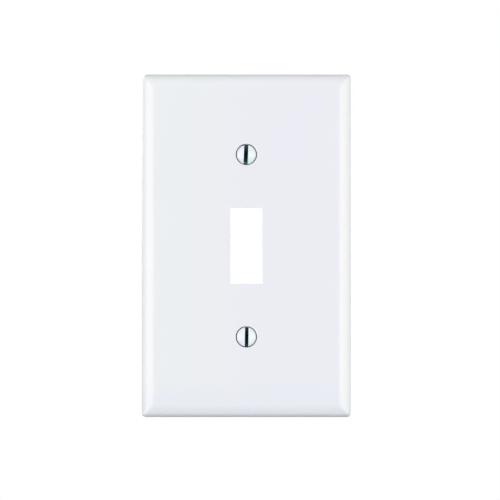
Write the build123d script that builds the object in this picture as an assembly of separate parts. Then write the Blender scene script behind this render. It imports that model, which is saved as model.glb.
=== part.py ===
"""Single-gang toggle wall plate with its two mounting screws, in millimetres.

Row frame: X across the plate, Z up the plate, Y into the wall. The plate's rim rests on the wall
plane Y = 0 and its face looks along -Y. The origin is the centre of the footprint on the wall
plane. Heights are measured from the wall plane towards the front, along -Y.
"""
from build123d import *
import math
import os

INCH = 25.4

# ---- plate: overall -------------------------------------------------------
WIDTH = 2.75 * INCH
HEIGHT = 4.5 * INCH
DEPTH = 5.6                  # wall plane to face
CORNER_R = 1.5               # plan radius of the four outer corners
# outer edge profile: drafted side wall, round shoulder, slope, soft crease into the flat face
BEVEL_RUN = 4.8              # outline to the start of the flat face
SIDE_DRAFT = 4.0             # degrees off the wall normal
SLOPE = 28.0                 # degrees off the face
SHOULDER_R = 3.5
CREASE_R = 5.0

# ---- plate: inside of the shell -------------------------------------------
RIM = 1.9                    # width of the land that touches the wall
WEB = 2.3                    # thickness behind the flat face
FLOOR = DEPTH - WEB          # height of the cavity floor
CAVITY_W = WIDTH - 2 * RIM
CAVITY_H = HEIGHT - 2 * RIM
CAVITY_DRAFT = 8.0
CAVITY_SLOPE = SLOPE
CAVITY_SHOULDER_R = 1.3
CAVITY_FLOOR_R = 2.8

# ---- plate: toggle opening ------------------------------------------------
OPEN_W = 10.6
OPEN_H = 25.25
OPEN_CORNER_R = 0.35
OPEN_EDGE_R = 0.2
COLLAR_T = 1.3               # rib around the opening, on the back

# ---- plate: screw seats ---------------------------------------------------
SCREW_SPACING = 2.375 * INCH
SCREW_Z = SCREW_SPACING / 2  # each screw is this far above or below the centre
SEAT_D = 7.0                 # countersink mouth
SEAT_LAND = 0.45             # straight part of the mouth, with its edge round
SEAT_EDGE_R = 0.12
CSK_ANGLE = 82.0             # degrees, full cone
CSK_TAN = math.tan(math.radians(CSK_ANGLE / 2))
HOLE_D = 4.0
BOSS_D = 9.6

# ---- plate: ribs and marks on the back ------------------------------------
STRAP_GAP = 1.7              # height where bosses and collar stop, clear of a device strap
RIB_T = 1.0
RIB_LOW = STRAP_GAP + 0.5    # the ribs stop a little further from the wall plane
RIB_X = 13.0                 # the two long ribs
CROSS_Z = 19.5               # cross ribs between the opening and the bosses
END_Z = 44.5                 # cross ribs beyond the bosses
PAD_D = 4.2                  # ejector pin pads
PAD_H = 0.12                 # the pads stand this proud of the cavity floor
# pad centres (x, z), mirrored left-right and top-bottom
PADS = [(22.5, 48.6), (22.5, 32.0), (22.5, 8.5), (0.0, 48.6)]
GATE_D = 2.4
GATE_H = 0.35
GATE_Z = -39.6

# ---- plate: overlaps between solids ---------------------------------------
CUT_OVER = 1.0               # cutters reach this far past the surfaces they cut
STAND_SINK = 0.4             # collar, bosses and ribs are drawn this far past the cavity floor
PAD_SINK = 0.3               # pads and gate stub sink this far into the web

# ---- screws: 6-32 x 1/2 slotted oval head ---------------------------------
HEAD_R = 3.2
HEAD_LAND = 0.25
CROWN_H = 1.15
SEAT_CLEAR = 0.04            # radial, between the two cones
MAJOR_R = 1.7425
PITCH = INCH / 32
THREAD_DEPTH = 0.5413 * PITCH
ROOT_FLAT = 0.25 * PITCH
THREAD_ANGLE = 60.0          # degrees, between the two flanks
NECK_R = 1.28                # relieved neck, just under the thread root
RUNOUT = 0.6                 # taper from the neck to the full thread
SCREW_LENGTH = 0.5 * INCH    # head rim to tip
TIP_CHAMFER = 0.45
GROOVE_OVER = 0.05           # the groove cutter stands this far outside the thread
GROOVE_LEAD = 0.8            # the groove is wound this far past both ends of the thread
GROOVE_START = 140.0         # degrees, where the winding starts, beyond the tip
SLOT_W = 1.15
SLOT_DEPTH = 1.45            # from the top of the crown
SLOT_CUT_LENGTH = 20         # slot cutter, longer than the head is wide
SLOT_CUT_H = 10
# name: (side of the centre in Z, slot angle in degrees clockwise from vertical, from the front)
SCREWS = {"upper_screw": (1, 2.0), "lower_screw": (-1, 0.9)}

SIDES = (1, -1)
CORNERS = [(sx, sz) for sx in SIDES for sz in SIDES]


# ---- drawing helpers ------------------------------------------------------
def lines(*points):
    """Straight edges joining the points in order."""
    return [Line(a, b) for a, b in zip(points, points[1:])]


def turn(face):
    """Revolves a face drawn in (radius, height) about Z, with height along +Z."""
    return revolve(Plane.XZ * face, Axis.Z, 360)


def upright(shape):
    """Turns a shape drawn in X-Y and raised along Z to lie in X-Z and rise along -Y."""
    return Rot(90, 0, 0) * shape


def plan_box(w, h, low, high, x=0.0, z=0.0, r=0.0):
    """A block w across by h up, with plan corner radius r, between two heights."""
    face = RectangleRounded(w, h, r) if r else Rectangle(w, h)
    return upright(Pos(x, z, low) * extrude(face, high - low))


def plan_disc(d, low, high, x=0.0, z=0.0):
    """A disc of diameter d between two heights."""
    return upright(Pos(x, z, low) * extrude(Circle(d / 2), high - low))


# ---- edge profiles --------------------------------------------------------
def edge_profile(run, depth, draft, slope, low_r, high_r):
    """Edge profile as (inward, height) points.

    They are the start, side end, shoulder middle and end, slope end, crease middle and end.
    """
    side_angle = math.radians(90 - draft)
    slope_angle = math.radians(slope)

    def arc_point(centre, radius, angle):
        return (centre[0] - radius * math.sin(angle), centre[1] + radius * math.cos(angle))

    # what the side and the slope must cover once the arcs have taken their share
    arcs_run = (low_r * (math.sin(side_angle) - math.sin(slope_angle))
                + high_r * math.sin(slope_angle))
    arcs_rise = (low_r * (math.cos(slope_angle) - math.cos(side_angle))
                 + high_r * (1 - math.cos(slope_angle)))
    straight_run, straight_rise = run - arcs_run, depth - arcs_rise
    draft_tan = math.tan(math.radians(draft))
    slope_tan = math.tan(slope_angle)
    side_h = (straight_rise - slope_tan * straight_run) / (1 - slope_tan * draft_tan)
    slope_len = (straight_run - side_h * draft_tan) / math.cos(slope_angle)
    if side_h <= 0 or slope_len <= 0:
        raise ValueError(f"edge profile does not close: side {side_h:.3f}, slope {slope_len:.3f}")

    side_end = (side_h * draft_tan, side_h)
    low_centre = (side_end[0] + low_r * math.sin(side_angle),
                  side_end[1] - low_r * math.cos(side_angle))
    shoulder_mid = arc_point(low_centre, low_r, (side_angle + slope_angle) / 2)
    shoulder_end = arc_point(low_centre, low_r, slope_angle)
    slope_end = (shoulder_end[0] + slope_len * math.cos(slope_angle),
                 shoulder_end[1] + slope_len * math.sin(slope_angle))
    high_centre = (slope_end[0] + high_r * math.sin(slope_angle),
                   slope_end[1] - high_r * math.cos(slope_angle))
    crease_mid = arc_point(high_centre, high_r, slope_angle / 2)
    crease_end = (high_centre[0], depth)
    return [(0, 0), side_end, shoulder_mid, shoulder_end, slope_end, crease_mid, crease_end]


def section(half, profile, below):
    """Closed cross-section symmetric about x = 0, with y = -height.

    `below` carries it past the wall plane.
    """
    edges = []
    tops = []
    for side in SIDES:
        start, side_end, shoulder_mid, shoulder_end, slope_end, crease_mid, crease_end = [
            (side * (half - inward), -height) for inward, height in profile]
        edges += [
            Line(start, side_end),
            ThreePointArc(side_end, shoulder_mid, shoulder_end),
            Line(shoulder_end, slope_end),
            ThreePointArc(slope_end, crease_mid, crease_end),
        ]
        if below:
            edges.append(Line((start[0], below), start))
        tops.append(crease_end)
    edges += lines(*tops)
    edges += lines((half, below), (-half, below))
    return make_face(Wire(edges))


def two_way(width, height, profile, below=0.0):
    """The common part of one edge profile run both ways, so the four sides meet in mitres."""
    across = extrude(section(width / 2, profile, below), height, both=True)
    along = extrude(section(height / 2, profile, below), width, both=True)
    return across & (Rot(0, -90, 0) * along)


# ---- plate ----------------------------------------------------------------
def corner_turn(profile):
    """The outermost CORNER_R of the edge profile, turned a full circle about a corner centre."""
    start, side_end, shoulder_mid, shoulder_end = [
        (CORNER_R - inward, height) for inward, height in profile[:4]]
    face = make_face(Wire([
        Line(start, side_end),
        ThreePointArc(side_end, shoulder_mid, shoulder_end),
        *lines(shoulder_end, (shoulder_end[0], 0), start),
    ]))
    # the shoulder runs past the corner centre, so only positive radii are kept
    face = face & (Pos(5, 0) * Rectangle(10, 40))
    return upright(turn(face))


def make_outer():
    """Solid outer form, its sharp corners swapped for turned ones."""
    profile = edge_profile(BEVEL_RUN, DEPTH, SIDE_DRAFT, SLOPE, SHOULDER_R, CREASE_R)
    outer = two_way(WIDTH, HEIGHT, profile)
    size = CORNER_R + CUT_OVER

    def column(sx, sz, x=0.0, z=0.0):
        return plan_box(size, size, -CUT_OVER, DEPTH + CUT_OVER,
                        x + sx * size / 2, z + sz * size / 2)

    centre_x, centre_z = WIDTH / 2 - CORNER_R, HEIGHT / 2 - CORNER_R
    for sx, sz in CORNERS:
        outer -= column(sx, sz, sx * centre_x, sz * centre_z)
    turned = corner_turn(profile)
    for sx, sz in CORNERS:
        outer += Pos(sx * centre_x, 0, sz * centre_z) * (turned & column(sx, sz))
    return outer


def make_stand():
    """Collar, bosses and ribs, before they are trimmed to the cavity."""
    high = FLOOR + STAND_SINK
    stand = plan_box(OPEN_W + 2 * COLLAR_T, OPEN_H + 2 * COLLAR_T, STRAP_GAP, high,
                     r=OPEN_CORNER_R + COLLAR_T)
    for s in SIDES:
        stand += plan_disc(BOSS_D, STRAP_GAP, high, 0, s * SCREW_Z)
        stand += plan_box(RIB_T, CAVITY_H, RIB_LOW, high, s * RIB_X, 0)
        for length, z in ((CAVITY_W, CROSS_Z), (CAVITY_W, END_Z), (2 * RIB_X, SCREW_Z)):
            stand += plan_box(length, RIB_T, RIB_LOW, high, 0, s * z)
    return stand


def seat_cutter():
    """Countersunk hole about the Y axis, with a small round on its mouth."""
    mouth_r, hole_r = SEAT_D / 2, HOLE_D / 2
    lip_r = mouth_r + SEAT_EDGE_R
    arc_inset = SEAT_EDGE_R * (1 - math.sqrt(0.5))
    above = DEPTH + CUT_OVER
    cone_top = DEPTH - SEAT_LAND
    cone_low = cone_top - (mouth_r - hole_r) / CSK_TAN
    round_low = (mouth_r, DEPTH - SEAT_EDGE_R)
    return upright(turn(make_face(Wire([
        *lines((0, above), (lip_r, above), (lip_r, DEPTH)),
        ThreePointArc((lip_r, DEPTH), (mouth_r + arc_inset, DEPTH - arc_inset), round_low),
        *lines(round_low, (mouth_r, cone_top), (hole_r, cone_low),
               (hole_r, -CUT_OVER), (0, -CUT_OVER), (0, above)),
    ]))))


def on_opening_mouth(edge):
    """True for the edges of the toggle opening that lie on the face."""
    centre = edge.center()
    return (abs(centre.Y + DEPTH) < 1e-4
            and abs(centre.X) < OPEN_W / 2 + 0.1
            and abs(centre.Z) < OPEN_H / 2 + 0.1)


def make_plate():
    plate = make_outer()

    # hollow back, leaving the collar, bosses and ribs
    profile = edge_profile(BEVEL_RUN - RIM, FLOOR, CAVITY_DRAFT, CAVITY_SLOPE,
                           CAVITY_SHOULDER_R, CAVITY_FLOOR_R)
    cavity = two_way(CAVITY_W, CAVITY_H, profile, below=CUT_OVER)
    stand = make_stand() & cavity
    plate = plate - (cavity - stand)

    # opening and screw seats
    plate -= plan_box(OPEN_W, OPEN_H, -CUT_OVER, DEPTH + CUT_OVER, r=OPEN_CORNER_R)
    plate = fillet([e for e in plate.edges() if on_opening_mouth(e)], OPEN_EDGE_R)
    for s in SIDES:
        plate -= Pos(0, 0, s * SCREW_Z) * seat_cutter()

    # ejector pin pads and the gate stub on the back of the face
    for x, z in PADS:
        for sx in (SIDES if x else (1,)):
            for sz in SIDES:
                plate += plan_disc(PAD_D, FLOOR - PAD_H, FLOOR + PAD_SINK, sx * x, sz * z)
    plate += plan_disc(GATE_D, FLOOR - GATE_H, FLOOR + PAD_SINK, 0, GATE_Z)
    return plate


# ---- screws ---------------------------------------------------------------
def thread_groove(tip, top):
    """Thread groove cutter, wound past both the tip and the top of the thread."""
    root_r, outer_r = MAJOR_R - THREAD_DEPTH, MAJOR_R + GROOVE_OVER
    root_half = ROOT_FLAT / 2
    flank_tan = math.tan(math.radians(THREAD_ANGLE / 2))
    outer_half = root_half + (THREAD_DEPTH + GROOVE_OVER) * flank_tan
    tooth = Plane.XZ * make_face(Polyline(
        (root_r, -root_half), (outer_r, -outer_half),
        (outer_r, outer_half), (root_r, root_half), close=True))
    winding = Helix(pitch=PITCH, height=(top - tip) + 2 * GROOVE_LEAD, radius=root_r)
    groove = sweep(tooth, path=winding, is_frenet=True)
    return Pos(0, 0, tip - GROOVE_LEAD) * (Rot(0, 0, GROOVE_START) * groove)


def make_screw():
    """Slotted oval-head screw along Z with the crown up; Z is height above the wall plane."""
    cone_top = DEPTH - SEAT_LAND - (SEAT_D / 2 - HEAD_R - SEAT_CLEAR) / CSK_TAN
    cone_low = cone_top - (HEAD_R - NECK_R) / CSK_TAN
    rim = cone_top + HEAD_LAND
    crown_top = rim + CROWN_H
    tip = rim - SCREW_LENGTH
    crown_r = (HEAD_R ** 2 + CROWN_H ** 2) / (2 * CROWN_H)
    mid_x = HEAD_R / 2
    mid_z = crown_top - (crown_r - math.sqrt(crown_r ** 2 - mid_x ** 2))
    blank = turn(make_face(Wire([
        ThreePointArc((0, crown_top), (mid_x, mid_z), (HEAD_R, rim)),
        *lines((HEAD_R, rim), (HEAD_R, cone_top), (NECK_R, cone_low), (NECK_R, STRAP_GAP),
               (MAJOR_R, STRAP_GAP - RUNOUT), (MAJOR_R, tip + TIP_CHAMFER),
               (MAJOR_R - TIP_CHAMFER, tip), (0, tip), (0, crown_top)),
    ])))

    screw = blank - thread_groove(tip, STRAP_GAP)
    if not 0.8 < screw.volume / blank.volume < 0.95 or len(screw.solids()) != 1:
        raise ValueError("the thread groove was not cut")
    slot_z = crown_top - SLOT_DEPTH + SLOT_CUT_H / 2
    screw -= Pos(0, 0, slot_z) * Box(SLOT_W, SLOT_CUT_LENGTH, SLOT_CUT_H)
    return screw


# ---- output ---------------------------------------------------------------
def write(shape, name):
    solids = shape.solids()
    out = solids[0] if len(solids) == 1 else Compound(children=list(solids))
    export_step(out, os.path.join("parts", name + ".step"))


def main():
    os.makedirs("parts", exist_ok=True)
    write(make_plate(), "wall_plate")
    screw = make_screw()
    for name, (side, slot_angle) in SCREWS.items():
        write(Pos(0, 0, side * SCREW_Z) * (Rot(0, slot_angle, 0) * upright(screw)), name)


main()
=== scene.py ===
"""A toggle switch wall plate with two painted oval-head screws.

The wall is the plane y = 0 and the plate stands out from it towards -Y, with its front
seen from -Y, x to the right and z up. The screws sit above and below the toggle opening.
Sizes are in millimetres; finished meshes are scaled to metres.
"""
import bpy
import bmesh
import math
from typing import NamedTuple
from mathutils import Matrix, Vector
from mathutils.geometry import delaunay_2d_cdt


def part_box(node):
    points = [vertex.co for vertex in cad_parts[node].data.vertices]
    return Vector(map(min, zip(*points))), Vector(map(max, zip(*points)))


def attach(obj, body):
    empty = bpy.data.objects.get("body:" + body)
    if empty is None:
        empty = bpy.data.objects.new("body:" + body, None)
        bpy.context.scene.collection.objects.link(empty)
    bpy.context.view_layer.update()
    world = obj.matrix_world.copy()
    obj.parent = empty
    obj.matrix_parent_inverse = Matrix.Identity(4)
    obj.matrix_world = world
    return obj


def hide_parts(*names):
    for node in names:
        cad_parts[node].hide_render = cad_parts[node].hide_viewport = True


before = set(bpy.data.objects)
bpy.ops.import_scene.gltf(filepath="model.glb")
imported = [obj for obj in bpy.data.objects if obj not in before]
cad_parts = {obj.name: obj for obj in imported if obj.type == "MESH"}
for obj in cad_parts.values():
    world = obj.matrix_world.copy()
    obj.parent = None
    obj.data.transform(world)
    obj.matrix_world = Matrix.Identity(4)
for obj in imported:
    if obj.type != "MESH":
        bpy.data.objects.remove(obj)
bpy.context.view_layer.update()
SCENE = bpy.context.scene
MM = 0.001

# ======================================================== plate sizes
WIDTH, HEIGHT, DEPTH = 69.85, 114.3, 5.6
CORNER_R = 1.5
BEVEL_RUN, SIDE_DRAFT, SLOPE, SHOULDER_R, CREASE_R = 4.8, 4.0, 28.0, 3.5, 5.0
LAND_EDGE = 0.18                        # round between the side and the land on the wall
RIM, WEB = 1.9, 2.3                     # wall thickness at the rim and behind the face
FLOOR = DEPTH - WEB                     # height of the inside floor
CAV_EDGE, CAV_CORNER_R = 0.15, 0.9
CAV_DRAFT, CAV_SLOPE, CAV_LOW_R, CAV_HIGH_R = 8.0, 28.0, 1.3, 2.8
FLAT_MARGIN = 0.06                      # level strip between a crease and the flat fill
OPEN_W, OPEN_H, OPEN_R, OPEN_EDGE = 10.6, 25.25, 0.35, 0.06
COLLAR_T, COLLAR_EDGE = 1.3, 0.2
SPACING = 60.325                        # between the screws
SEAT_R, SEAT_LAND, SEAT_EDGE, HOLE_R, HOLE_CHAMFER = 3.5, 0.45, 0.12, 2.0, 0.15
CONE_FLARE = math.tan(math.radians(41))  # radius gained per unit of height
BOSS_R = 4.8
STANDOFF_EDGE, STANDOFF_FOOT = 0.25, 0.4
GAP = 1.7                               # from the wall to the boss and collar ends
RIB_T, RIB_X, CROSS_Z, END_Z = 1.0, 13.0, 19.5, 44.5
RIB_EDGE, RIB_FOOT_R, RIB_INSET = 0.2, 0.35, 1.75
RIB_SETBACK, RIB_STEP = 0.5, 0.03       # rib tops behind the boss ends; step between groups
TIE_START, TIE_OVERLAP = 3.4, 0.15      # short ribs from the bosses to the long ribs
PADS = [(22.5, 48.6), (22.5, 32.0), (22.5, 8.5), (0.0, 48.6)]  # x, z of one quarter
PAD_R, PAD_H = 2.1, 0.12
GATE_R, GATE_H, GATE_Z = 1.2, 0.35, -39.6
FRONT, BACK = 0, 1                      # material slots of the plate

# ======================================================== screw sizes
HEAD_R, HEAD_LAND, CROWN_H, SEAT_CLEAR = 3.24, 0.25, 1.10, 0.04
MAJOR_R, PITCH = 1.7425, 25.4 / 32
ROOT_R = MAJOR_R - 0.5413 * PITCH
NECK_R, RUNOUT, TIP_CHAMFER = 1.28, 0.6, 0.45
SLOT_DEPTH, SLOT_EDGE = 1.45, 0.06
CONE_TOP = DEPTH - SEAT_LAND - (SEAT_R - HEAD_R - SEAT_CLEAR) / CONE_FLARE
RIM_H = CONE_TOP + HEAD_LAND
SLOT_FLOOR = RIM_H + CROWN_H - SLOT_DEPTH
CROWN_R = (HEAD_R ** 2 + CROWN_H ** 2) / (2 * CROWN_H)
BASE_R = HEAD_R - (CONE_TOP - SLOT_FLOOR) * CONE_FLARE  # under-head cone level with slot floor
TIP_H = -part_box("upper_screw")[1][1] / MM               # the tip ends where the CAD screw ends
SHANK_TOP = GAP + 0.02
N_ARC, N_GAP, N_CHORD = 26, 6, 20       # segments: half a head, a slot end, a slot wall
N_TURN = 2 * N_ARC + 2 * N_GAP
ENAMEL, OXIDE_AND_SHADE, ZINC = 0, 1, 2           # material slots of a screw

# one pitch of a 60-degree thread, root to root, its corners eased: share of the pitch, radius
THREAD = [
    (0.0, ROOT_R), (0.07, ROOT_R), (0.115, ROOT_R + 0.008), (0.15, ROOT_R + 0.036),
    (0.25, ROOT_R + 0.172), (0.33, ROOT_R + 0.282), (0.40, ROOT_R + 0.376),
    (0.435, MAJOR_R - 0.016), (0.465, MAJOR_R), (0.535, MAJOR_R), (0.565, MAJOR_R - 0.016),
    (0.60, ROOT_R + 0.376), (0.67, ROOT_R + 0.282), (0.75, ROOT_R + 0.172),
    (0.85, ROOT_R + 0.036), (0.885, ROOT_R + 0.008),
]


class Screw(NamedTuple):
    name: str
    side: int            # 1 above the opening, -1 below
    slot_width: float
    slot_shift: float    # off the head's centre
    slot_turn: float     # degrees
    seat_painted_light: list      # (end of the slot, colour of painted light on the seat wall there)
    slot_floor_light_and_shade: list      # (end of the slot, start and stop along it, colour): painted light and shade in the slot

    @property
    def centre_z(self):
        return self.side * SPACING / 2


# the cutter wanders a little from screw to screw
SCREWS = [
    Screw(
        name="upper_screw", side=1, slot_width=1.32, slot_shift=-0.14, slot_turn=2.0,
        seat_painted_light=[(1, (0.36, 0.40, 0.40)), (-1, (0.13, 0.15, 0.15))],
        slot_floor_light_and_shade=[
            (1, 0.2, 2.4, (0.026, 0.080, 0.074)),
            (1, 2.2, 2.6, (0.075, 0.122, 0.120)),
            (1, 2.75, 2.95, (0.014, 0.022, 0.023)),
            (-1, 0.2, 2.4, (0.013, 0.086, 0.070)),
            (-1, 2.4, 2.7, (0.125, 0.250, 0.215)),
            (-1, 2.8, 3.0, (0.012, 0.022, 0.021)),
        ]),
    Screw(
        name="lower_screw", side=-1, slot_width=1.14, slot_shift=0.10, slot_turn=0.9,
        seat_painted_light=[(1, (0.46, 0.51, 0.51))],
        slot_floor_light_and_shade=[
            (1, 0.9, 2.1, (0.018, 0.046, 0.044)),
            (1, 2.1, 2.4, (0.045, 0.074, 0.074)),
            (1, 2.5, 2.75, (0.025, 0.040, 0.042)),
            (1, 2.85, 3.15, (0.060, 0.080, 0.082)),
            (-1, 0.9, 2.3, (0.005, 0.036, 0.030)),
            (-1, 2.3, 2.95, (0.045, 0.090, 0.085)),
            (-1, 2.95, 3.2, (0.090, 0.140, 0.140)),
        ]),
]


# ======================================================== outlines and profiles
def point(x, z, height):
    """Plan x and z as seen from the front, height in front of the wall."""
    return Vector((x, -height, z))


def rounded_rect(width, height, radius, segments):
    """Anticlockwise from the front, with `segments` in each corner."""
    right, top = width / 2 - radius, height / 2 - radius
    left, bottom = radius - width / 2, radius - height / 2
    corners = ((right, top, 0), (left, top, 90), (left, bottom, 180), (right, bottom, 270))
    points = []
    for x, z, start in corners:
        for i in range(segments + 1):
            angle = math.radians(start + 90 * i / segments)
            points.append((x + radius * math.cos(angle), z + radius * math.sin(angle)))
    return points


def circle(radius, x, z, segments):
    angles = [2 * math.pi * i / segments for i in range(segments)]
    return [(x + radius * math.cos(angle), z + radius * math.sin(angle)) for angle in angles]


def quarter(radius, segments):
    """(sine side, cosine side) of a quarter round."""
    angles = [math.pi / 2 * i / segments for i in range(segments + 1)]
    return [(radius * math.sin(angle), radius * math.cos(angle)) for angle in angles]


def edge_profile(run, depth, draft, slope, low_r, high_r, low_steps, high_steps):
    """(inward, height) points of a drafted side, a shoulder, a slope and a soft crease."""
    side, tilt = math.radians(90 - draft), math.radians(slope)
    round_run = low_r * (math.sin(side) - math.sin(tilt)) + high_r * math.sin(tilt)
    round_rise = low_r * (math.cos(tilt) - math.cos(side)) + high_r * (1 - math.cos(tilt))
    lean_in = math.tan(math.radians(draft))
    side_h = (((depth - round_rise) - math.tan(tilt) * (run - round_run))
              / (1 - math.tan(tilt) * lean_in))
    slope_length = (run - round_run - side_h * lean_in) / math.cos(tilt)
    low_centre = (side_h * lean_in + low_r * math.sin(side), side_h - low_r * math.cos(side))
    points = []
    for i in range(low_steps + 1):
        angle = side + (tilt - side) * i / low_steps
        points.append((low_centre[0] - low_r * math.sin(angle),
                       low_centre[1] + low_r * math.cos(angle)))
    slope_end = (points[-1][0] + slope_length * math.cos(tilt),
                 points[-1][1] + slope_length * math.sin(tilt))
    high_centre = (slope_end[0] + high_r * math.sin(tilt),
                   slope_end[1] - high_r * math.cos(tilt))
    for i in range(high_steps + 1):
        angle = tilt * (1 - i / high_steps)
        points.append((high_centre[0] - high_r * math.sin(angle),
                       high_centre[1] + high_r * math.cos(angle)))
    return points


# ======================================================== mesh helpers
def ring(mesh, points, height):
    return [mesh.verts.new(point(x, z, height)) for x, z in points]


def rings_along(mesh, outline, profile):
    """One ring for each (size, height) of the profile; outline(size) gives its points."""
    return [ring(mesh, outline(size), height) for size, height in profile]


def bridge(mesh, low, high, slot=0):
    count = len(low)
    for i in range(count):
        after = (i + 1) % count
        face = mesh.faces.new((low[i], low[after], high[after], high[i]))
        face.material_index = slot


def bridge_all(mesh, rings, slot=0):
    for low, high in zip(rings, rings[1:]):
        bridge(mesh, low, high, slot)


def cap(mesh, *loops, slot):
    for loop in loops:
        mesh.faces.new(loop).material_index = slot


def fan(mesh, loop, middle, slot):
    for i, vert in enumerate(loop):
        cap(mesh, [vert, loop[(i + 1) % len(loop)], middle], slot=slot)


def inside(x, z, polygon):
    hit = False
    for i, (x1, z1) in enumerate(polygon):
        x2, z2 = polygon[i - 1]
        if (z1 > z) != (z2 > z) and x < (x2 - x1) * (z - z1) / (z2 - z1) + x1:
            hit = not hit
    return hit


def flat_region(mesh, outer, holes, slot):
    """Fills the flat face between one outer ring of verts and the rings of its holes."""
    verts, edges = [], []
    for loop in [outer] + holes:
        start = len(verts)
        verts += loop
        edges += [(start + i, start + (i + 1) % len(loop)) for i in range(len(loop))]
    flat = [Vector((vert.co.x, vert.co.z)) for vert in verts]
    faces, sources = delaunay_2d_cdt(flat, edges, [], 1, 1e-7)[2:4]
    polygons = [[(vert.co.x, vert.co.z) for vert in loop] for loop in holes]
    for face in faces:
        used = [sources[i][0] for i in face]
        x = sum(flat[i].x for i in used) / len(used)
        z = sum(flat[i].y for i in used) / len(used)
        if not any(inside(x, z, polygon) for polygon in polygons):
            cap(mesh, [verts[i] for i in used], slot=slot)


def to_object(mesh, name, materials):
    bmesh.ops.recalc_face_normals(mesh, faces=mesh.faces[:])
    data = bpy.data.meshes.new(name)
    mesh.to_mesh(data)
    mesh.free()
    piece = bpy.data.objects.new(name, data)
    SCENE.collection.objects.link(piece)
    for material in materials:
        data.materials.append(material)
    return piece


def apply_modifiers(piece):
    depsgraph = bpy.context.evaluated_depsgraph_get()
    depsgraph.update()
    new = bpy.data.meshes.new_from_object(
        piece.evaluated_get(depsgraph), preserve_all_data_layers=True, depsgraph=depsgraph)
    old = piece.data
    piece.modifiers.clear()
    piece.data = new
    bpy.data.meshes.remove(old)
    new.name = piece.name


def smooth_shade(piece, angle):
    """Smooth shading, crisp past `angle`, flat faces kept flat by area-weighted normals."""
    data = piece.data
    data.polygons.foreach_set("use_smooth", [True] * len(data.polygons))
    data.set_sharp_from_angle(angle=math.radians(angle))
    modifier = piece.modifiers.new("normals", "WEIGHTED_NORMAL")
    modifier.keep_sharp = True
    modifier.mode = "FACE_AREA_WITH_ANGLE"
    modifier.weight = 50
    apply_modifiers(piece)


def to_metres(piece):
    piece.data.transform(Matrix.Scale(MM, 4))
    piece.data.update()


# ======================================================== the moulded plate
def plate_outline(inset):
    """The plate's outline drawn in; its corner round passes into a soft mitre."""
    shrunk, mitre, softness = CORNER_R - inset, 0.45 + 0.10 * inset, 0.09
    radius = (shrunk + mitre + math.sqrt((shrunk - mitre) ** 2 + softness)) / 2
    return rounded_rect(WIDTH - 2 * inset, HEIGHT - 2 * inset, radius, 12)


def cavity_outline(inset):
    return rounded_rect(WIDTH - 2 * inset, HEIGHT - 2 * inset, CAV_CORNER_R, 12)


def opening_outline(reach):
    return rounded_rect(OPEN_W + 2 * reach, OPEN_H + 2 * reach, OPEN_R + reach, 6)


def standoff_profile(reach):
    """Outside of a collar or boss: rounded end, wall and filleted foot on the inside floor."""
    edge, foot = STANDOFF_EDGE, STANDOFF_FOOT
    points = [(reach - edge + sin, GAP + edge - cos) for sin, cos in quarter(edge, 4)]
    points += [(reach + foot - cos, FLOOR - foot + sin) for sin, cos in quarter(foot, 5)]
    return points + [(reach + 0.45, FLOOR)]


def pierce(mesh, outline, front_profile, back_profile):
    """Walls of a hole through the plate; returns its rings on the face and on the floor."""
    rings = rings_along(mesh, outline, front_profile + back_profile)
    for i, (low, high) in enumerate(zip(rings, rings[1:])):
        bridge(mesh, low, high, FRONT if i < len(front_profile) else BACK)
    return rings[0], rings[-1]


def toggle_opening(mesh):
    """The opening, with the collar behind it."""
    front = [(OPEN_EDGE + 0.05, DEPTH)]
    front += [(OPEN_EDGE - sin, DEPTH - OPEN_EDGE + cos) for sin, cos in quarter(OPEN_EDGE, 8)]
    back = [(COLLAR_EDGE - cos, GAP + COLLAR_EDGE - sin) for sin, cos in quarter(COLLAR_EDGE, 4)]
    return pierce(mesh, opening_outline, front, back + standoff_profile(COLLAR_T))


def screw_seat(mesh, z):
    """A countersunk hole, with the boss behind it."""
    cone_depth = (SEAT_R - HOLE_R) / CONE_FLARE
    front = [(SEAT_R + SEAT_EDGE + 0.04, DEPTH)]
    front += [(SEAT_R + SEAT_EDGE - sin, DEPTH - SEAT_EDGE + cos)
              for sin, cos in quarter(SEAT_EDGE, 5)]
    front += [(SEAT_R, DEPTH - SEAT_LAND), (HOLE_R, DEPTH - SEAT_LAND - cone_depth)]
    back = [(HOLE_R, GAP + HOLE_CHAMFER), (HOLE_R + HOLE_CHAMFER, GAP)]
    return pierce(mesh, lambda radius: circle(radius, 0, z, 80),
                  front, back + standoff_profile(BOSS_R))


def shell(mesh):
    outer = [(LAND_EDGE - sin, LAND_EDGE - cos) for sin, cos in quarter(LAND_EDGE, 4)]
    outer += edge_profile(run=BEVEL_RUN, depth=DEPTH, draft=SIDE_DRAFT, slope=SLOPE,
                          low_r=SHOULDER_R, high_r=CREASE_R, low_steps=20, high_steps=20)
    outer.append((BEVEL_RUN + FLAT_MARGIN, DEPTH))
    skin = rings_along(mesh, plate_outline, outer)
    bridge_all(mesh, skin, FRONT)

    inner = [(RIM - CAV_EDGE + sin, CAV_EDGE - cos) for sin, cos in quarter(CAV_EDGE, 4)]
    slope = edge_profile(run=BEVEL_RUN - RIM, depth=FLOOR, draft=CAV_DRAFT, slope=CAV_SLOPE,
                         low_r=CAV_LOW_R, high_r=CAV_HIGH_R, low_steps=8, high_steps=8)
    inner += [(RIM + inset, height) for inset, height in slope]
    inner.append((BEVEL_RUN + FLAT_MARGIN, FLOOR))
    hollow = rings_along(mesh, cavity_outline, inner)
    bridge(mesh, skin[0], hollow[0], BACK)
    bridge_all(mesh, hollow, BACK)

    holes = [toggle_opening(mesh)] + [screw_seat(mesh, screw.centre_z) for screw in SCREWS]
    flat_region(mesh, skin[-1], [face for face, _ in holes], FRONT)
    flat_region(mesh, hollow[-1], [floor for _, floor in holes], BACK)


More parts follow.
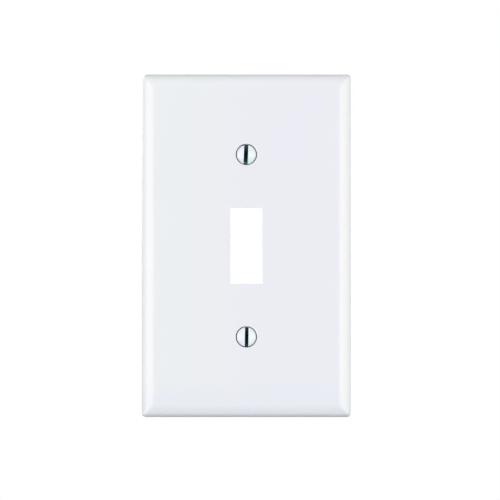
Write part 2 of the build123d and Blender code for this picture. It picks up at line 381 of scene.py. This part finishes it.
def rib(mesh, axis, place, start, stop, lower):
    """A rib on the inside floor, placed along `axis`, with rounded top and filleted foot.
    `lower` shortens it a little, so that crossing tops don't lie in one plane."""
    top, half, foot = GAP + RIB_SETBACK + lower, RIB_T / 2, RIB_FOOT_R
    right = [(half - RIB_EDGE + sin, top + RIB_EDGE - cos) for sin, cos in quarter(RIB_EDGE, 3)]
    for degrees in (0, 16, 32, 48, 64, 78):
        angle = math.radians(degrees)
        right.append((half + 0.38 - foot * math.cos(angle),
                      FLOOR - foot + foot * math.sin(angle)))
    right.append((half + 0.40, FLOOR + 0.28))
    outline = right + [(-off, height) for off, height in reversed(right)]
    ends = []
    for end in (start, stop):
        ends.append([
            mesh.verts.new(point(place + off, end, height) if axis == "x"
                           else point(end, place + off, height))
            for off, height in outline])
    bridge(mesh, ends[0], ends[1], BACK)
    cap(mesh, *ends, slot=BACK)


def stub(mesh, x, z, radius, height):
    """A low round pad on the inside floor, its top edge softened."""
    edge = min(0.08, height * 0.6)
    profile = [(radius, FLOOR + 0.3)]
    profile += [(radius - edge + cos, FLOOR - height + edge - sin)
                for sin, cos in quarter(edge, 3)]
    rings = rings_along(mesh, lambda size: circle(size, x, z, 48), profile)
    bridge_all(mesh, rings, BACK)
    cap(mesh, rings[0], rings[-1], slot=BACK)


def inside_details(materials):
    """Ribs, ejector pads and the gate stub, as separate pieces that cross one another."""
    half_x, half_z = WIDTH / 2 - RIB_INSET, HEIGHT / 2 - RIB_INSET
    reach = RIB_X + TIE_OVERLAP
    long_ribs, cross_ribs, ties, pads = groups = [bmesh.new() for _ in range(4)]
    for side in (1, -1):
        rib(long_ribs, "x", side * RIB_X, -half_z, half_z, lower=0.0)
        rib(cross_ribs, "z", side * CROSS_Z, -half_x, half_x, lower=RIB_STEP)
        rib(cross_ribs, "z", side * END_Z, -half_x, half_x, lower=RIB_STEP)
        rib(ties, "z", side * SPACING / 2, TIE_START, reach, lower=2 * RIB_STEP)
        rib(ties, "z", side * SPACING / 2, -reach, -TIE_START, lower=2 * RIB_STEP)
    for x, z in PADS:
        for side_x in ((1, -1) if x else (1,)):
            for side_z in (1, -1):
                stub(pads, side_x * x, side_z * z, PAD_R, PAD_H)
    stub(pads, 0, GATE_Z, GATE_R, GATE_H)
    return [to_object(group, f"extra_{i}", materials) for i, group in enumerate(groups)]


def build_plate(materials):
    mesh = bmesh.new()
    shell(mesh)
    plate = to_object(mesh, "moulded_plate", materials)
    details = inside_details(materials)
    for detail in details:
        modifier = plate.modifiers.new("join", "BOOLEAN")
        modifier.operation = "UNION"
        modifier.solver = "EXACT"
        modifier.object = detail
    apply_modifiers(plate)
    for detail in details:
        data = detail.data
        bpy.data.objects.remove(detail)
        bpy.data.meshes.remove(data)
    smooth_shade(plate, angle=32)
    # many-sided faces are cut into well-shaped triangles, so that none is left without area
    modifier = plate.modifiers.new("cut", "TRIANGULATE")
    modifier.min_vertices = 5
    modifier.ngon_method = "BEAUTY"
    modifier.keep_custom_normals = True
    apply_modifiers(plate)
    to_metres(plate)
    return plate


# ======================================================== the screws
def crown(radius):
    """Height of the domed head at a radius."""
    return RIM_H + CROWN_H - (CROWN_R - math.sqrt(max(CROWN_R ** 2 - radius * radius, 0)))


def thread_limit(height):
    """The thread fades out into the neck at its top and into the chamfer at the tip."""
    radius = min(MAJOR_R, MAJOR_R - TIP_CHAMFER + (height - TIP_H))
    if height > GAP - RUNOUT:
        fade = (height - GAP + RUNOUT) * (MAJOR_R - NECK_R) / RUNOUT
        radius = min(radius, MAJOR_R - fade)
    return max(radius, NECK_R)


class ScrewMesh:
    """Mesh of one screw, drawn in the head's own frame: across and along the slot, height."""

    def __init__(self, screw):
        self.mesh = bmesh.new()
        self.centre_z = screw.centre_z
        self.sin = math.sin(math.radians(screw.slot_turn))
        self.cos = math.cos(math.radians(screw.slot_turn))
        half = screw.slot_width / 2
        # how far each slot wall is from the screw's axis
        self.wall = {1: half + screw.slot_shift, -1: half - screw.slot_shift}
        self.base_angles = self.head_angles()
        self.base = [self.polar(BASE_R, angle, SLOT_FLOOR) for angle in self.base_angles]
        self.head()
        self.neck_and_tip(*self.shank())

    def vert(self, across, along, height):
        return self.mesh.verts.new(point(
            across * self.cos + along * self.sin,
            self.centre_z - across * self.sin + along * self.cos, height))

    def polar(self, radius, angle, height):
        return self.vert(radius * math.cos(angle), radius * math.sin(angle), height)

    def head_angles(self):
        """Angles of a full turn at the base, with points exactly on both slot walls."""
        right, left = (math.asin(self.wall[side] / BASE_R) for side in (1, -1))
        marks = [(right - math.pi / 2, N_ARC), (math.pi / 2 - right, N_GAP),
                 (math.pi / 2 + left, N_ARC), (3 * math.pi / 2 - left, N_GAP),
                 (3 * math.pi / 2 + right, 0)]
        angles = []
        for (start, count), (stop, _) in zip(marks, marks[1:]):
            angles += [start + (stop - start) * i / count for i in range(count)]
        return angles

    def half_ring(self, side, inset, lift=0.0, level=None):
        """D-shaped ring of one half, at `level` or following the crown plus `lift`."""
        radius, chord = HEAD_R - inset, self.wall[side] + inset
        span = math.acos(chord / radius)
        angles = [-span + 2 * span * i / N_ARC for i in range(N_ARC + 1)]
        points = [(radius * math.cos(angle), radius * math.sin(angle)) for angle in angles]
        end = radius * math.sin(span)
        points += [(chord, end - 2 * end * i / N_CHORD) for i in range(1, N_CHORD)]
        return [
            self.vert(side * across, side * along,
                      crown(math.hypot(across, along)) + lift if level is None else level)
            for across, along in points]

    def head_half(self, side, first):
        """Half the head, beside the slot; returns the foot of its slot wall."""
        half = self.wall[side]
        end = BASE_R * math.sin(math.acos(half / BASE_R))
        chord = [self.vert(side * half, side * (end - 2 * end * i / N_CHORD), SLOT_FLOOR)
                 for i in range(1, N_CHORD)]
        arc = [self.base[(first + i) % N_TURN] for i in range(N_ARC + 1)]
        loops = [arc + chord, self.half_ring(side, 0, level=CONE_TOP)]
        for sin, cos in quarter(SLOT_EDGE, 4):
            loops.append(self.half_ring(side, SLOT_EDGE - cos, lift=sin - SLOT_EDGE))
        for share in (0.12, 0.27, 0.46, 0.68, 0.87, 0.965):
            loops.append(self.half_ring(side, share * (HEAD_R - half) / 2))
        for level, (low, high) in enumerate(zip(loops, loops[1:])):
            for i in range(len(low)):
                after = (i + 1) % len(low)
                slot_wall = i >= N_ARC and level < 2
                cap(self.mesh, [low[i], low[after], high[after], high[i]],
                    slot=OXIDE_AND_SHADE if slot_wall else ENAMEL)
        middle = (half + HEAD_R) / 2
        fan(self.mesh, loops[-1], self.vert(side * middle, 0, crown(middle)), ENAMEL)
        return [arc[-1]] + chord + [arc[0]]

    def head(self):
        right = self.head_half(1, first=0)
        left = list(reversed(self.head_half(-1, first=N_ARC + N_GAP)))
        # slot floor, with the rounded ends past the walls
        for i in range(N_CHORD):
            cap(self.mesh, [right[i], right[i + 1], left[i + 1], left[i]], slot=OXIDE_AND_SHADE)
        for start in (N_ARC, 2 * N_ARC + N_GAP):
            end = [self.base[i % N_TURN] for i in range(start, start + N_GAP + 1)]
            cap(self.mesh, end, slot=OXIDE_AND_SHADE)

    def shank(self):
        """A sheet wound along the helix, its ends pinched onto two plain circles."""
        stations = len(THREAD)
        start = TIP_H - 1.2 * PITCH
        verts = {}

        def helix(i, j):
            j += stations * (i // N_TURN)
            i %= N_TURN
            share, radius = THREAD[j % stations]
            height = start + (j // stations + share + i / N_TURN) * PITCH
            key = (i, j)
            if height <= TIP_H:
                key = ("tip", i)
            elif height >= SHANK_TOP:
                key = ("top", i)
            if key not in verts:
                height = min(max(height, TIP_H), SHANK_TOP)
                radius = min(radius, thread_limit(height))
                if key[0] == "tip":
                    radius = MAJOR_R - TIP_CHAMFER
                verts[key] = self.polar(radius, self.even_angle(i), height)
            return verts[key]

        turns = int((SHANK_TOP - start) / PITCH) + 2
        for j in range(turns * stations):
            for i in range(N_TURN):
                corners = [helix(i, j), helix(i + 1, j), helix(i + 1, j + 1), helix(i, j + 1)]
                corners = list(dict.fromkeys(corners))
                if len(corners) > 2:
                    cap(self.mesh, corners, slot=ZINC)
        return [[verts[(end, i)] for i in range(N_TURN)] for end in ("tip", "top")]

    def even_angle(self, i):
        return self.base_angles[0] + 2 * math.pi * i / N_TURN

    def turn_ring(self, radius, height, blend=0.0):
        """A full turn, its spacing blended from even to that of the head's base."""
        verts = []
        for i, angle in enumerate(self.base_angles):
            even = self.even_angle(i)
            verts.append(self.polar(radius, even + blend * (angle - even), height))
        return verts

    def neck_and_tip(self, tip, top):
        low = CONE_TOP - (HEAD_R - NECK_R) / CONE_FLARE
        neck = [top, self.turn_ring(NECK_R, low - 0.1),
                self.turn_ring(NECK_R + 0.03, low + 0.08, 0.1)]
        for share in (0.25, 0.5, 0.75):
            neck.append(self.turn_ring(NECK_R + (BASE_R - NECK_R) * share,
                                       low + (SLOT_FLOOR - low) * share, share))
        bridge_all(self.mesh, neck + [self.base], ZINC)
        # the tip is very slightly dished: radius, rise
        dish = [tip]
        for radius, rise in ((1.24, 0), (0.95, 0.02), (0.55, 0.07)):
            dish.append(self.turn_ring(radius, TIP_H + rise))
        bridge_all(self.mesh, dish, ZINC)
        fan(self.mesh, dish[-1], self.vert(0, 0, TIP_H + 0.09), ZINC)


def build_screw(screw):
    name = screw.name.replace("_screw", "_oval_head_screw")
    materials = [screw_enamel(screw), slot_oxide_and_shade(screw), zinc_plating(screw)]
    piece = to_object(ScrewMesh(screw).mesh, name, materials)
    smooth_shade(piece, angle=38)
    to_metres(piece)
    return piece


# ======================================================== shader nodes
def mm(*values):
    return tuple(value * MM for value in values)


class Nodes:
    """Fills an emptied node tree; most methods add one node and return its output."""

    def __init__(self, tree):
        self.tree = tree
        tree.nodes.clear()

    def add(self, kind, **settings):
        node = self.tree.nodes.new("ShaderNode" + kind)
        for key, value in settings.items():
            setattr(node, key, value)
        return node

    def feed(self, node, values):
        """Links or sets inputs, given by name or number."""
        for key, value in values.items():
            if isinstance(value, bpy.types.NodeSocket):
                self.tree.links.new(value, node.inputs[key])
            else:
                node.inputs[key].default_value = value
        return node

    def place(self, label=None):
        """Object coordinates, in metres. A labelled node is later given another piece
        whose coordinates it reads."""
        node = self.add("TexCoord")
        if label:
            node.name = label
        return node.outputs["Object"]

    def axes(self, vector):
        return self.feed(self.add("SeparateXYZ"), {0: vector}).outputs

    def combine(self, x, y, z):
        return self.feed(self.add("CombineXYZ"), {0: x, 1: y, 2: z}).outputs[0]

    def noise(self, vector, scale, detail=2.0, rough=0.5):
        values = {"Vector": vector, "Scale": scale, "Detail": detail, "Roughness": rough}
        return self.feed(self.add("TexNoise"), values).outputs["Fac"]

    def ramp(self, value, span, to=(0, 1), kind="LINEAR"):
        values = {"Value": value, "From Min": span[0], "From Max": span[1],
                  "To Min": to[0], "To Max": to[1]}
        return self.feed(self.add("MapRange", interpolation_type=kind), values).outputs[0]

    def smooth(self, value, span, to=(0, 1)):
        return self.ramp(value, span, to, kind="SMOOTHSTEP")

    def math(self, operation, *values):
        node = self.add("Math", operation=operation)
        return self.feed(node, dict(enumerate(values))).outputs[0]

    def times(self, first, second):
        return self.math("MULTIPLY", first, second)

    def plus(self, first, second):
        return self.math("ADD", first, second)

    def minus(self, first, second):
        return self.math("SUBTRACT", first, second)

    def hypot(self, first, second):
        squares = [self.math("POWER", value, 2) for value in (first, second)]
        return self.math("SQRT", self.plus(*squares))

    def vector(self, operation, values, output="Vector"):
        return self.feed(self.add("VectorMath", operation=operation), values).outputs[output]

    def mix(self, factor, under, over):
        """Blends two colours."""
        under, over = ((*colour, 1) if isinstance(colour, tuple) else colour
                       for colour in (under, over))
        node = self.add("Mix", data_type="RGBA")
        return self.feed(node, {0: factor, 6: under, 7: over}).outputs[2]

    def mix_shader(self, factor, under, over):
        return self.feed(self.add("MixShader"), {0: factor, 1: under, 2: over}).outputs[0]

    def bump(self, height, strength, distance, normal=None):
        values = {"Strength": strength, "Distance": distance, "Height": height}
        if normal is not None:
            values["Normal"] = normal
        return self.feed(self.add("Bump"), values).outputs["Normal"]

    def surface(self, values):
        shader = self.feed(self.add("BsdfPrincipled"), values)
        self.feed(self.add("OutputMaterial"), {0: shader.outputs[0]})


def new_material(name):
    material = bpy.data.materials.new(name)
    material.use_nodes = True
    return material, Nodes(material.node_tree)


def head_frame(tree, screw, wanted, label=None):
    """Coordinates in the head's own frame: across the slot, along it, height off the wall."""
    angle = math.radians(screw.slot_turn)
    sin, cos = math.sin(angle), math.cos(angle)
    x, y, z = tree.axes(tree.place(label))
    up = tree.minus(z, screw.centre_z * MM)
    makers = {
        "across": lambda: tree.minus(tree.times(x, cos), tree.times(up, sin)),
        "along": lambda: tree.plus(tree.times(x, sin), tree.times(up, cos)),
        "height": lambda: tree.times(y, -1),
    }
    return [makers[name]() for name in wanted.split()]


def off_slot(tree, screw, across):
    """Distance from the slot's middle line."""
    return tree.math("ABSOLUTE", tree.minus(across, screw.slot_shift * MM))


# ======================================================== plate materials
def seat_shade(tree):
    """Colour of the seats: painted shade, with painted light at the slot's ends from light
    coming along it.
    """
    # painted shade: near-black colour for the seat walls in the gap round each head
    shade = (0.035, 0.038, 0.044)
    for screw in SCREWS:
        across, along = head_frame(tree, screw, "across along", label=screw.name)
        half = screw.slot_width / 2
        band = tree.smooth(off_slot(tree, screw, across),
                           span=mm(half - 0.02, half + 0.12), to=(1, 0))
        # painted light on the seat wall where each end of the slot lets light in
        for side, glow in screw.seat_painted_light:
            reach = tree.times(along, side)
            end = tree.times(tree.ramp(reach, span=mm(2.6, 2.8)),
                             tree.ramp(reach, span=mm(3.8, 4.0), to=(1, 0)))
            shade = tree.mix(tree.times(band, end), shade, glow)
    return shade


def plate_front():
    """Glossy moulded face: pale white with a drift of tint, orange peel and wipe marks."""
    tint_left, tint_right = (0.868, 0.881, 0.856), (0.867, 0.855, 0.880)
    cloud_tint, foot_painted_shade = (0.862, 0.862, 0.870), (0.840, 0.849, 0.872)
    cloud_share, seat_share = 0.2, 1.0      # strength of the cloud and of the seats' shade
    material, tree = new_material("plate_gloss_white")
    place = tree.place()
    x, y, z = tree.axes(place)
    # a touch of green on the left drifts to lilac on the right, with a slow cloud over it
    colour = tree.mix(tree.smooth(x, span=mm(-34, 14)), tint_left, tint_right)
    cloud = tree.ramp(tree.noise(place, scale=45), span=(0.35, 0.65))
    colour = tree.mix(tree.times(cloud, cloud_share), colour, cloud_tint)
    # painted shade: the foot of the plate is a little darker
    colour = tree.mix(tree.smooth(z, span=mm(-43, -52)), colour, foot_painted_shade)
    # screw seats below the face: painted shade of the gap round each head
    deep = tree.smooth(y, span=mm(-5.48, -5.25))
    off_axis = tree.hypot(x, tree.minus(tree.math("ABSOLUTE", z), SPACING / 2 * MM))
    seat = tree.times(deep, tree.ramp(off_axis, span=mm(3.6, 3.8), to=(1, 0)))
    colour = tree.mix(tree.times(seat, seat_share), colour, seat_shade(tree))
    # polished tool finish with faint upright smears
    stretched = tree.feed(tree.add("Mapping"), {"Vector": place, "Scale": (1.0, 1.0, 0.35)})
    smear = tree.noise(stretched.outputs[0], scale=160, detail=4, rough=0.6)
    peel = tree.bump(tree.noise(place, scale=520, detail=1.0, rough=0.4),
                     strength=0.10, distance=0.00004)
    grain = tree.bump(tree.noise(place, scale=3800, detail=1.0),
                      strength=0.06, distance=0.00001, normal=peel)
    tree.surface({
        "Base Color": colour,
        "Roughness": tree.ramp(smear, span=(0.3, 0.7), to=(0.195, 0.245)),
        "IOR": 1.5,
        "Normal": grain,
    })
    return material


def plate_back():
    """Back of the moulding: satin, spark-eroded grain with flow marks round the gate."""
    dull, pale, flow_tint = (0.80, 0.815, 0.835), (0.845, 0.86, 0.875), (0.74, 0.755, 0.775)
    wobble, ring_rate, flow_rough = 0.010, 900, 0.02    # metres, radians a metre, roughness
    material, tree = new_material("plate_satin_back")
    place = tree.place()
    x, _, z = tree.axes(place)
    distance = tree.hypot(x, tree.minus(z, GATE_Z * MM))
    waver = tree.times(tree.noise(place, scale=110, detail=3, rough=0.6), wobble)
    rings = tree.math("SINE", tree.times(tree.plus(distance, waver), ring_rate))
    flow = tree.times(rings, tree.ramp(distance, span=mm(2, 30), to=(1, 0)))
    cloud = tree.ramp(tree.noise(place, scale=70, detail=3, rough=0.55), span=(0.3, 0.7))
    colour = tree.mix(cloud, dull, pale)
    colour = tree.mix(tree.ramp(flow, span=(-1, 1), to=(0, 0.10)), colour, flow_tint)
    grain = tree.noise(place, scale=5200, rough=0.6)
    coarse = tree.bump(tree.noise(place, scale=1700), strength=0.35, distance=0.00003)
    tree.surface({
        "Base Color": colour,
        "Roughness": tree.plus(tree.ramp(grain, span=(0.3, 0.7), to=(0.40, 0.52)),
                               tree.times(flow, flow_rough)),
        "IOR": 1.5,
        "Normal": tree.bump(grain, strength=0.45, distance=0.00002, normal=coarse),
    })
    return material


# ======================================================== screw materials
def screw_enamel(screw):
    """Pale cool enamel, thin and chipped along the slot's lips, painted shade below the crown.
    """
    enamel, enamel_light = (0.845, 0.895, 0.925), (0.875, 0.925, 0.955)
    thin, bare, shaded = (0.26, 0.40, 0.40), (0.16, 0.17, 0.17), (0.022, 0.026, 0.03)
    thin_share, chip_share, shade_share = 0.55, 0.2, 1.0
    chip_rough = 0.2
    material, tree = new_material(screw.name + "_enamel")
    across, height = head_frame(tree, screw, "across height")
    place = tree.place()
    cloud = tree.ramp(tree.noise(place, scale=900), span=(0.3, 0.7))
    colour = tree.mix(cloud, enamel, enamel_light)
    half = screw.slot_width / 2
    lip = tree.smooth(off_slot(tree, screw, across),
                      span=mm(half + 0.01, half + 0.06), to=(1, 0))
    colour = tree.mix(tree.times(lip, thin_share), colour, thin)
    chips = tree.ramp(tree.noise(place, scale=5200, detail=3, rough=0.6), span=(0.52, 0.60))
    wear = tree.times(lip, chips)
    colour = tree.mix(tree.times(wear, chip_share), colour, bare)
    # painted shade on the head's side, down in the gap of its seat
    under = tree.smooth(height, span=mm(RIM_H - 0.03, RIM_H - 0.08))
    colour = tree.mix(tree.times(under, shade_share), colour, shaded)
    ripple = tree.bump(tree.noise(place, scale=2600), strength=0.18, distance=0.00002)
    tree.surface({
        "Base Color": colour,
        "Roughness": tree.plus(tree.ramp(cloud, span=(0, 1), to=(0.20, 0.27)),
                               tree.times(wear, chip_rough)),
        "IOR": 1.5,
        "Normal": tree.bump(tree.times(wear, -1), strength=0.35, distance=0.00002,
                            normal=ripple),
    })
    return material


def slot_oxide_and_shade(screw):
    """Inside of the slot: dark oxide deepened by painted shade, with fine cutter lines along it
    and painted light toward its mouth.
    """
    # dark oxide, made darker still as painted shade in the slot
    dark, light = (0.0003, 0.0195, 0.0170), (0.0010, 0.034, 0.029)
    line_squeeze = (1.0, 0.03, 1.0)         # across, along, height: long lines along the slot
    mouth_light_share = 0.5
    material, tree = new_material(screw.name + "_slot_oxide_and_shade")
    frame = head_frame(tree, screw, "across along height")
    _, along, height = frame
    squeezed = [tree.times(value, scale) for value, scale in zip(frame, line_squeeze)]
    lines = tree.noise(tree.combine(*squeezed), scale=9000, rough=0.6)
    # painted light: the slot's walls grow lighter toward its mouth
    mouth_light = tree.smooth(height, span=mm(SLOT_FLOOR, RIM_H + 0.9))
    colour = tree.mix(tree.ramp(lines, span=(0.35, 0.65)), dark, light)
    colour = tree.mix(tree.times(mouth_light, mouth_light_share), colour, light)
    # painted light and shade in bands along the slot toward its ends, where light comes in along
    # it
    for side, start, stop, band_colour in screw.slot_floor_light_and_shade:
        end_band = tree.smooth(tree.times(along, side), span=mm(start, stop))
        colour = tree.mix(end_band, colour, band_colour)
    tree.surface({
        "Base Color": colour,
        "Roughness": tree.ramp(lines, span=(0.3, 0.7), to=(0.45, 0.62)),
        "Specular IOR Level": 0.05,
        "Normal": tree.bump(lines, strength=0.3, distance=0.00001),
    })
    return material


def zinc_plating(screw):
    """Shank: bright zinc with a faint blue passivation and rolling marks round the thread."""
    blue, bright, root_grime_and_shade = (0.60, 0.625, 0.655), (0.70, 0.71, 0.715), (0.11, 0.115, 0.12)
    plan_squeeze, cloud_rough = 0.15, 0.06  # stretch of the marks round the shank; roughness
    material, tree = new_material(screw.name + "_zinc")
    across, along, height = head_frame(tree, screw, "across along height")
    place = tree.place()
    squeezed = [tree.times(value, plan_squeeze) for value in (across, along)]
    rolled = tree.noise(tree.combine(*squeezed, height), scale=14000, rough=0.6)
    cloud = tree.ramp(tree.noise(place, scale=1100, detail=3), span=(0.35, 0.65))
    # the roots of the thread hold a little oil and grime, and are darkened further as painted
    # shade
    root = tree.smooth(tree.hypot(across, along),
                       span=mm(ROOT_R + 0.06, MAJOR_R - 0.10), to=(0.8, 0))
    threaded = tree.ramp(height, span=mm(GAP - RUNOUT, GAP - RUNOUT - 0.3))
    off_tip = tree.ramp(height, span=mm(TIP_H + 0.12, TIP_H + 0.5))
    grime_and_shade = tree.times(root, tree.times(threaded, off_tip))
    tree.surface({
        "Base Color": tree.mix(grime_and_shade, tree.mix(cloud, blue, bright), root_grime_and_shade),
        "Metallic": 1.0,
        "Roughness": tree.plus(tree.ramp(rolled, span=(0.3, 0.7), to=(0.24, 0.36)),
                               tree.times(cloud, cloud_rough)),
        "Normal": tree.bump(rolled, strength=0.25, distance=0.00001),
    })
    return material


# ======================================================== the product
plate = build_plate([plate_front(), plate_back()])
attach(plate, "plate")
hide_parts("wall_plate")
for screw in SCREWS:
    piece = build_screw(screw)
    plate.data.materials[0].node_tree.nodes[screw.name].object = piece
    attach(piece, screw.name)
    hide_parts(screw.name)


# ======================================================== light
def lean(side, degrees):
    """Direction `degrees` from straight in front (-Y), to the left, right, top or bottom."""
    out, ahead = math.sin(math.radians(degrees)), math.cos(math.radians(degrees))
    return {"L": (-out, -ahead, 0), "R": (out, -ahead, 0),
            "T": (0, -ahead, out), "B": (0, -ahead, -out)}[side]


# soft boxes, as smooth patches of a surrounding sphere:
# direction, colour, degrees from the direction to the core's end and to the outer edge
LOBES = [
    ((0, -1, 0), (0.0, 0.0, 0.40), 8, 50),
    (lean("L", 40), (2.59, 2.40, 2.30), 4, 34),
    (lean("L", 66), (1.64, 1.49, 1.51), 4, 34),
    (lean("L", 92), (0.66, 0.79, 0.50), 4, 34),
    (lean("L", 118), (0.30, 0.29, 0.29), 4, 34),
    (lean("R", 40), (2.94, 2.90, 1.93), 4, 34),
    (lean("R", 66), (0.75, 0.73, 0.70), 4, 34),
    (lean("R", 92), (1.52, 1.46, 1.68), 4, 34),
    (lean("R", 118), (0.08, 0.09, 0.11), 4, 34),
    (lean("R", 144), (0.62, 0.61, 0.65), 4, 34),
    (lean("T", 40), (0.55, 0.74, 0.91), 4, 34),
    (lean("T", 66), (0.28, 0.39, 0.36), 4, 34),
    (lean("T", 92), (0.29, 0.33, 0.28), 4, 34),
    (lean("T", 118), (0.22, 0.23, 0.21), 4, 34),
    (lean("T", 150), (0.47, 0.46, 0.47), 4, 34),
    (lean("B", 40), (0.0, 0.0, 0.07), 4, 34),
    (lean("B", 66), (0.35, 0.73, 0.82), 4, 34),
    (lean("B", 92), (0.11, 0.08, 0.0), 4, 34),
    (lean("B", 118), (0.28, 0.22, 0.24), 4, 34),
    ((-0.8, 1, 0.62), (3.80, 3.84, 3.88), 5, 30),
    ((0, 1, 0), (1.30, 1.29, 1.34), 10, 30),
]


def build_world():
    """The soft boxes light the scene; the camera itself sees plain white."""
    black, white = (0.0, 0.0, 0.0, 1), (1, 1, 1, 1)
    world = bpy.data.worlds.new("studio")
    SCENE.world = world
    world.use_nodes = True
    tree = Nodes(world.node_tree)
    direction = tree.add("TexCoord").outputs["Generated"]
    start = tree.add("RGB")
    start.outputs[0].default_value = black
    total = start.outputs[0]
    for axis, colour, core, edge in LOBES:
        facing = tree.vector("DOT_PRODUCT", {0: direction, 1: Vector(axis).normalized()},
                             output="Value")
        span = (math.cos(math.radians(edge)), math.cos(math.radians(core)))
        patch = tree.vector("SCALE", {0: colour, "Scale": tree.smooth(facing, span=span)})
        total = tree.vector("ADD", {0: total, 1: patch})
    lit = tree.feed(tree.add("Background"), {0: total, 1: 1.0})
    seen = tree.feed(tree.add("Background"), {0: white})
    camera_ray = tree.add("LightPath").outputs["Is Camera Ray"]
    shader = tree.mix_shader(camera_ray, lit.outputs[0], seen.outputs[0])
    tree.feed(tree.add("OutputWorld"), {0: shader})


build_world()


# ======================================================== floor, in metres
def floor_material():
    """Pale diffuse, passing into the white of the room further out."""
    material, tree = new_material("pale_floor")
    diffuse = tree.feed(tree.add("BsdfDiffuse"), {0: (0.86, 0.87, 0.88, 1)})
    glow = tree.feed(tree.add("Emission"), {0: (1, 1, 1, 1)})
    distance = tree.vector("LENGTH", {0: tree.place()}, output="Value")
    blend = tree.smooth(distance, span=(0.35, 0.95), to=(0.35, 1))
    shader = tree.mix_shader(blend, diffuse.outputs[0], glow.outputs[0])
    tree.feed(tree.add("OutputMaterial"), {0: shader})
    return material


def build_floor():
    """A plain round floor well below the plate, seen only by the camera."""
    level, segments = -0.30, 96
    mesh = bmesh.new()
    rings = []
    for radius in (0.05, 0.3, 0.6, 0.9, 1.2, 1.5, 1.8):
        points = circle(radius, 0, 0, segments)
        rings.append([mesh.verts.new((x, y, level)) for x, y in points])
    mesh.faces.new(rings[0])
    bridge_all(mesh, rings)
    floor = to_object(mesh, "pale_floor", [floor_material()])
    for kind in ("diffuse", "glossy", "transmission", "shadow"):
        setattr(floor, "visible_" + kind, False)
    return floor


build_floor()

# ======================================================== camera, in metres
DISTANCE = 0.570
VIEW_WIDTH = 0.1670         # width of the view at the wall
SENSOR = 36.0
camera_data = bpy.data.cameras.new("camera")
camera = bpy.data.objects.new("camera", camera_data)
SCENE.collection.objects.link(camera)
camera_data.sensor_width = SENSOR
camera_data.lens = SENSOR * DISTANCE / VIEW_WIDTH
camera.location = (1.2 * MM, -DISTANCE, -1.42 * MM)
camera.rotation_euler = (math.radians(90), 0, 0)
camera_data.clip_start, camera_data.clip_end = 0.01, 20
SCENE.camera = camera

SCENE.view_settings.view_transform = "Standard"
SCENE.view_settings.look = "None"
